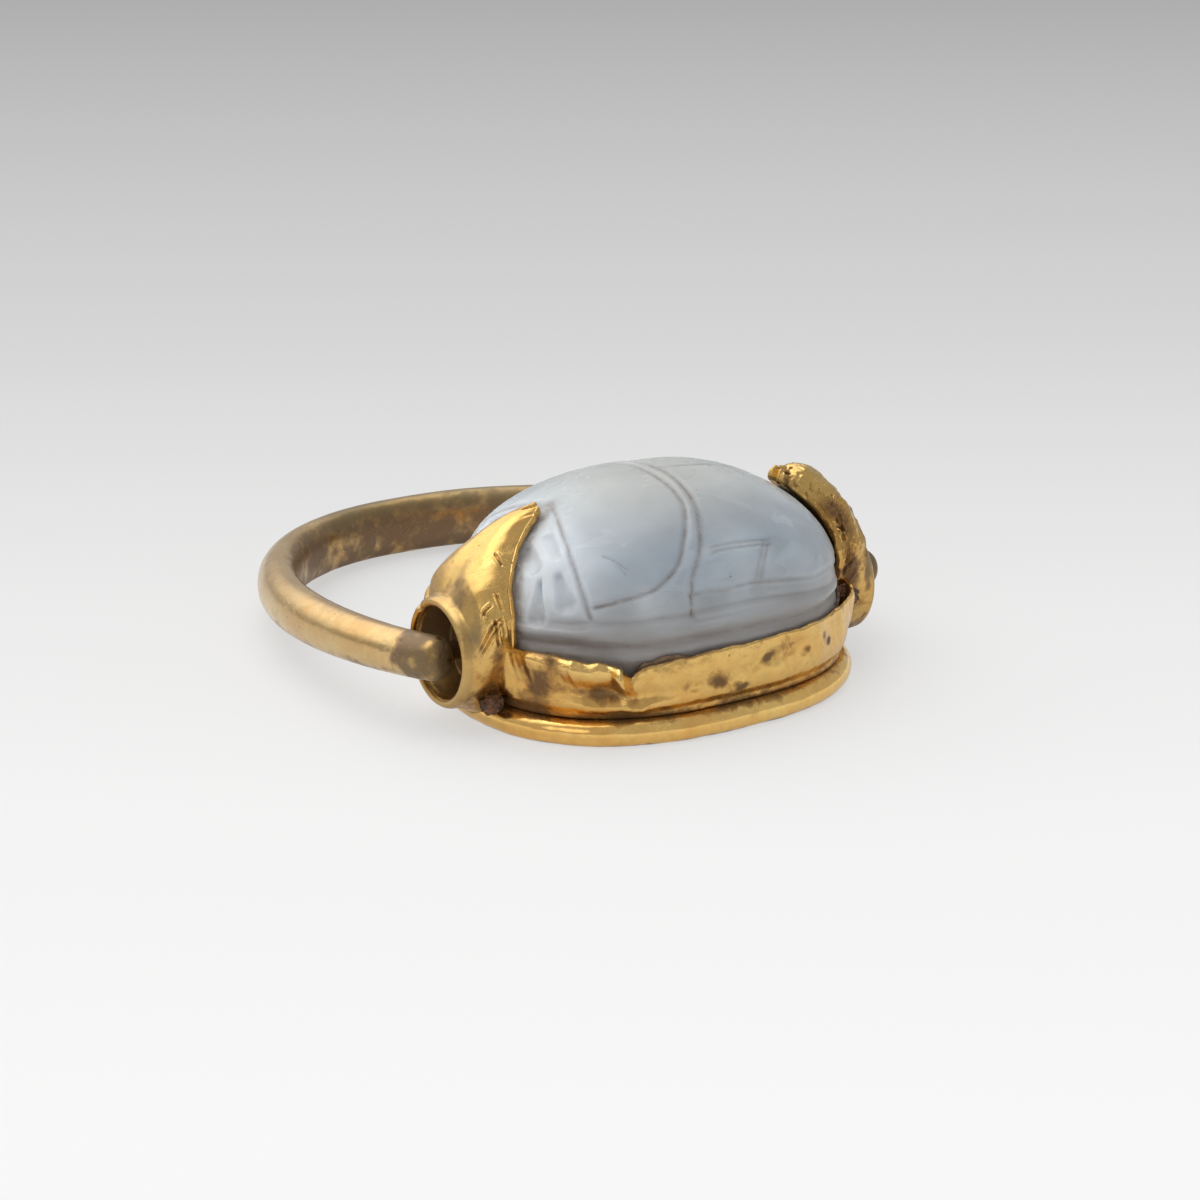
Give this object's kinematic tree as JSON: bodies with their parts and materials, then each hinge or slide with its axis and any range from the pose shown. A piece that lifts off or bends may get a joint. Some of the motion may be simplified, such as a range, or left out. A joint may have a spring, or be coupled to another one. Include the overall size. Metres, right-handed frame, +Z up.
{
  "type": "scaraboid swivel ring",
  "caption": "Gold finger ring with a beetle-backed chalcedony scaraboid in a bezel that swivels on a wire between the ends of a tapering hoop.",
  "frame": {"origin": "middle of the stone's flat sealing face, on the surface that the ring lies on", "axes": "X is the swivel axis with the beetle's head end at -X, +Y points from the axis to the hoop's crown at rest, +Z is up out of the stone's back"},
  "size_m": [0.0226, 0.0266, 0.0087],
  "materials": {
    "stone": "polished",
    "hoop_gold": "worn satin",
    "sheet_gold": "polished, worn",
    "wire_gold": "dull",
    "solder": "rough",
    "bedding": "matt, earthy"
  },
  "bodies": {
    "setting": {"scarab_stone": "stone", "base_rim": "sheet_gold", "bezel_wall_front": "sheet_gold", "bezel_wall_back": "sheet_gold", "bedding_front": "bedding", "bedding_back": "bedding", "head_end_cap": "sheet_gold", "tail_end_cap": "sheet_gold", "head_solder_front": "solder", "head_solder_back": "solder", "tail_solder_front": "solder", "tail_solder_back": "solder"},
    "hoop": {"hoop": "hoop_gold", "pivot_wire": "wire_gold"}
  },
  "joints": [
    {"name": "hoop_swivel", "type": "hinge", "parent": "setting", "child": "hoop", "pos_m": [0, 0, 0.00294], "axis": [1, 0, 0], "continuous": true}
  ]
}
